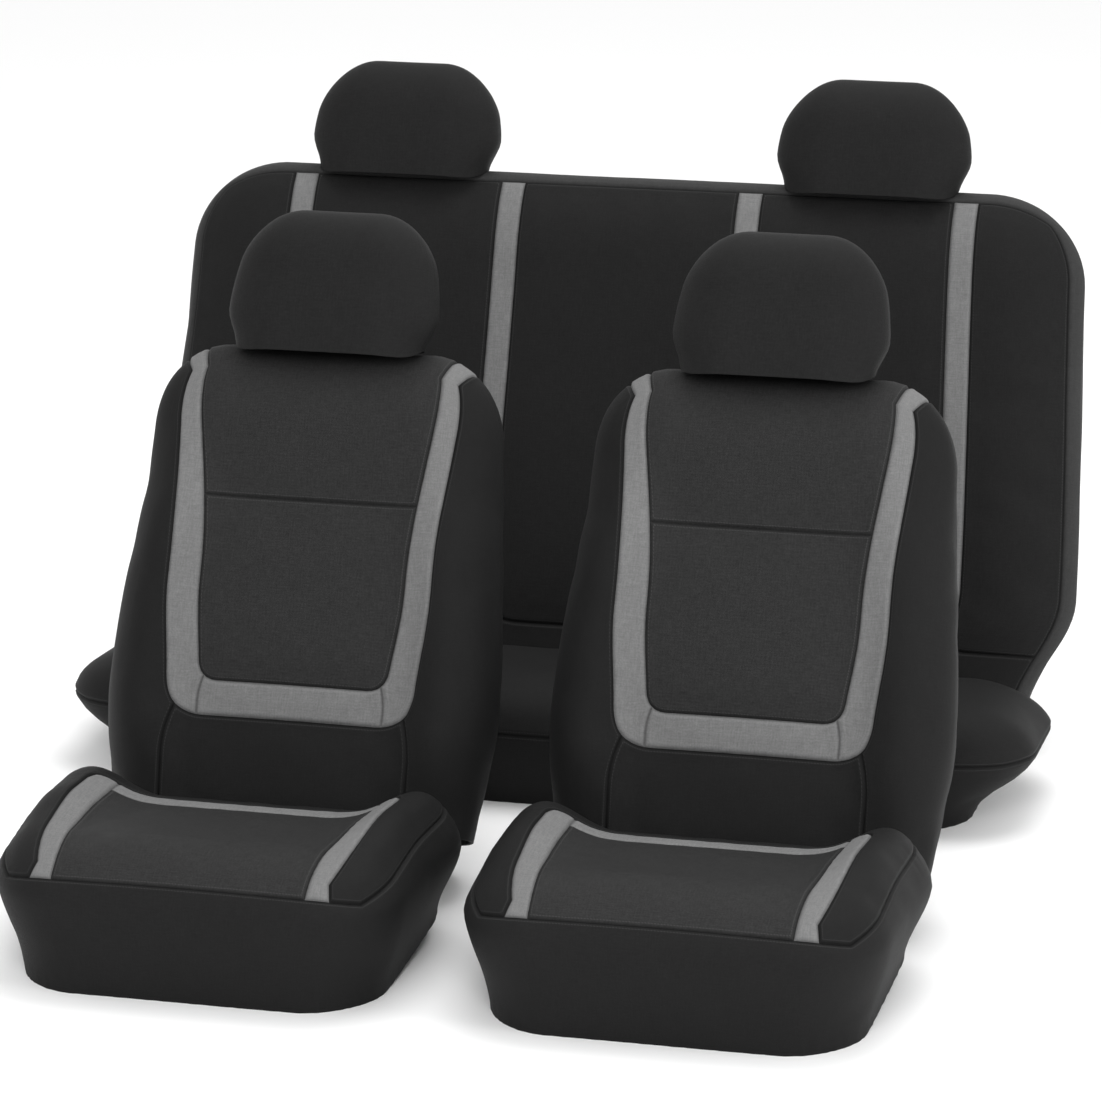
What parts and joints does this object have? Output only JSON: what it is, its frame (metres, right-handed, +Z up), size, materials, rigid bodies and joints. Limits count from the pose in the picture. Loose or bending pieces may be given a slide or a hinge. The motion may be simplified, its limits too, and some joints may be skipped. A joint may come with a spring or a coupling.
{
  "type": "car seat cover set",
  "caption": "Sewn fabric covers for two front bucket seats and a rear bench, with separate headrest covers, dark cloth with pale trim strips and skirted, elasticated hems.",
  "frame": {"origin": "middle of the overall footprint, on the plane the hems stand on", "axes": "+X towards the right-hand side as seen from the front of the set, +Y from the front seats towards the rear bench, +Z up; every seat faces -Y"},
  "size_m": [1.43, 1.662, 0.9466],
  "materials": {
    "insert_cloth": "charcoal knitted polyester, foam backed, matt",
    "body_cloth": "near-black knitted polyester, foam backed, matt",
    "skirt_cloth": "dark grey knitted polyester, matt",
    "trim_cloth": "light grey heathered polyester, slight sheen",
    "webbing": "woven polypropylene webbing",
    "elastic_band": "gathered black elastic",
    "buckle_plastic": "moulded black plastic"
  },
  "bodies": {
    "rear_cushion": {"bench_cushion_elastic": "elastic_band", "bench_cushion_skirt": "skirt_cloth", "bench_cushion_strap_left": "webbing", "bench_cushion_strap_right": "webbing", "bench_cushion_top": "insert_cloth"},
    "rear_back": {"bench_back_gusset": "skirt_cloth", "bench_back_insert_left": "insert_cloth", "bench_back_insert_right": "insert_cloth", "bench_back_lower_panel": "body_cloth", "bench_back_panel_centre": "body_cloth", "bench_back_panel_left": "body_cloth", "bench_back_panel_right": "body_cloth", "bench_back_rear_panel": "body_cloth", "bench_back_trim_left": "trim_cloth", "bench_back_trim_right": "trim_cloth"},
    "rear_headrest_left": {"bench_headrest_left_front": "insert_cloth", "bench_headrest_left_rear": "body_cloth"},
    "front_left_cushion": {"front_left_cushion_buckle": "buckle_plastic", "front_left_cushion_elastic": "elastic_band", "front_left_cushion_insert": "insert_cloth", "front_left_cushion_skirt": "skirt_cloth", "front_left_cushion_strap": "webbing", "front_left_cushion_surround": "body_cloth", "front_left_cushion_trim_left": "trim_cloth", "front_left_cushion_trim_rear": "trim_cloth", "front_left_cushion_trim_right": "trim_cloth"},
    "front_left_back": {"front_left_back_bolster_left": "body_cloth", "front_left_back_bolster_right": "body_cloth", "front_left_back_insert_lower": "insert_cloth", "front_left_back_insert_upper": "insert_cloth", "front_left_back_lower_panel": "body_cloth", "front_left_back_rear_panel": "body_cloth", "front_left_back_trim_bottom": "trim_cloth", "front_left_back_trim_left": "trim_cloth", "front_left_back_trim_right": "trim_cloth"},
    "front_left_headrest": {"front_left_headrest_front": "insert_cloth", "front_left_headrest_rear": "body_cloth"},
    "rear_headrest_right": {"bench_headrest_right_front": "insert_cloth", "bench_headrest_right_rear": "body_cloth"},
    "front_right_cushion": {"front_right_cushion_buckle": "buckle_plastic", "front_right_cushion_elastic": "elastic_band", "front_right_cushion_insert": "insert_cloth", "front_right_cushion_skirt": "skirt_cloth", "front_right_cushion_strap": "webbing", "front_right_cushion_surround": "body_cloth", "front_right_cushion_trim_left": "trim_cloth", "front_right_cushion_trim_rear": "trim_cloth", "front_right_cushion_trim_right": "trim_cloth"},
    "front_right_back": {"front_right_back_bolster_left": "body_cloth", "front_right_back_bolster_right": "body_cloth", "front_right_back_insert_lower": "insert_cloth", "front_right_back_insert_upper": "insert_cloth", "front_right_back_lower_panel": "body_cloth", "front_right_back_rear_panel": "body_cloth", "front_right_back_trim_bottom": "trim_cloth", "front_right_back_trim_left": "trim_cloth", "front_right_back_trim_right": "trim_cloth"},
    "front_right_headrest": {"front_right_headrest_front": "insert_cloth", "front_right_headrest_rear": "body_cloth"}
  },
  "joints": [
    {"name": "front_left_track", "type": "slide", "parent": "rear_cushion", "child": "front_left_cushion", "axis": [0, 1, 0], "range_m": [-0.15, 0.06]},
    {"name": "front_left_recline", "type": "hinge", "parent": "front_left_cushion", "child": "front_left_back", "pos_m": [-0.23, -0.31455, 0.095], "axis": [-1, 0, 0], "range_deg": [-6, 20]},
    {"name": "front_left_headrest_lift", "type": "slide", "parent": "front_left_back", "child": "front_left_headrest", "axis": [0, 0.3907, 0.9205], "range_m": [0, 0.06]},
    {"name": "front_right_track", "type": "slide", "parent": "rear_cushion", "child": "front_right_cushion", "axis": [0, 1, 0], "range_m": [-0.15, 0.06]},
    {"name": "front_right_recline", "type": "hinge", "parent": "front_right_cushion", "child": "front_right_back", "pos_m": [0.394, -0.31455, 0.095], "axis": [-1, 0, 0], "range_deg": [-6, 20]},
    {"name": "front_right_headrest_lift", "type": "slide", "parent": "front_right_back", "child": "front_right_headrest", "axis": [0, 0.3907, 0.9205], "range_m": [0, 0.06]},
    {"name": "rear_back_fold", "type": "hinge", "parent": "rear_cushion", "child": "rear_back", "pos_m": [0, 0.53045, 0.095], "axis": [1, 0, 0], "range_deg": [0, 20]},
    {"name": "rear_headrest_left_lift", "type": "slide", "parent": "rear_back", "child": "rear_headrest_left", "axis": [0, 0.309, 0.9511], "range_m": [0, 0.06]},
    {"name": "rear_headrest_right_lift", "type": "slide", "parent": "rear_back", "child": "rear_headrest_right", "axis": [0, 0.309, 0.9511], "range_m": [0, 0.06]}
  ]
}
